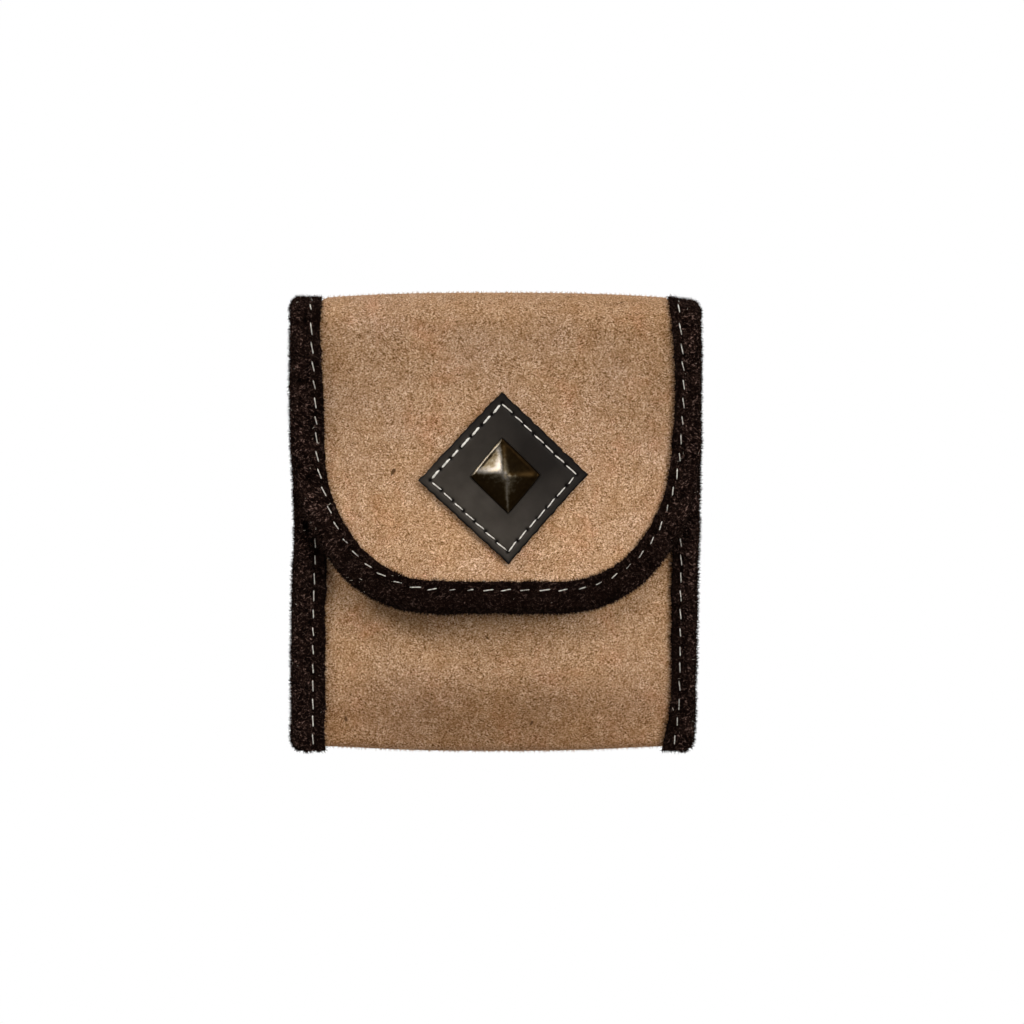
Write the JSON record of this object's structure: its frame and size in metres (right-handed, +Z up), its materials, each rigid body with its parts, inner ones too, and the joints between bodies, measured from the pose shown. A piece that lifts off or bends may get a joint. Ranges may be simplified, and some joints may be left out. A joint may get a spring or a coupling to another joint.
{
  "type": "waist bag",
  "caption": "Small suede waist bag with bound edges, a hinged flap closed by a press stud under a pyramid cap, and loops on its back for a belt",
  "frame": {"origin": "middle of the belt's way between the back panel and the belt loops, halfway between the two loops", "axes": "+Z up as worn, +Y towards the wearer, -Y towards the viewer, +X to the viewer's right"},
  "size_m": [0.105, 0.0336, 0.1178],
  "materials": {
    "tan_suede": "napped split suede, camel tan",
    "dark_suede": "napped split suede, blackish brown",
    "black_leather": "smooth grained leather, black",
    "antique_brass": "antiqued brass, darkened and polished on its ridges",
    "thread": "twisted off-white sewing thread"
  },
  "bodies": {
    "pouch": {"pouch_panel": "tan_suede", "side_binding_left": "dark_suede", "side_binding_right": "dark_suede", "side_stitching_left": "thread", "side_stitching_right": "thread", "snap_stud": "antique_brass", "snap_post": "antique_brass", "belt_loop_left": "dark_suede", "belt_loop_right": "dark_suede", "loop_stitching_left_top": "thread", "loop_stitching_left_bottom": "thread", "loop_stitching_right_top": "thread", "loop_stitching_right_bottom": "thread"},
    "flap": {"flap_panel": "tan_suede", "flap_binding": "dark_suede", "flap_stitching": "thread", "diamond_patch": "black_leather", "patch_stitching": "thread", "pyramid_stud": "antique_brass", "snap_socket": "antique_brass"}
  },
  "joints": [
    {"name": "flap_hinge", "type": "hinge", "parent": "pouch", "child": "flap", "pos_m": [0, -0.0072, 0.04895], "axis": [-1, 0, 0], "range_deg": [0, 165]}
  ]
}
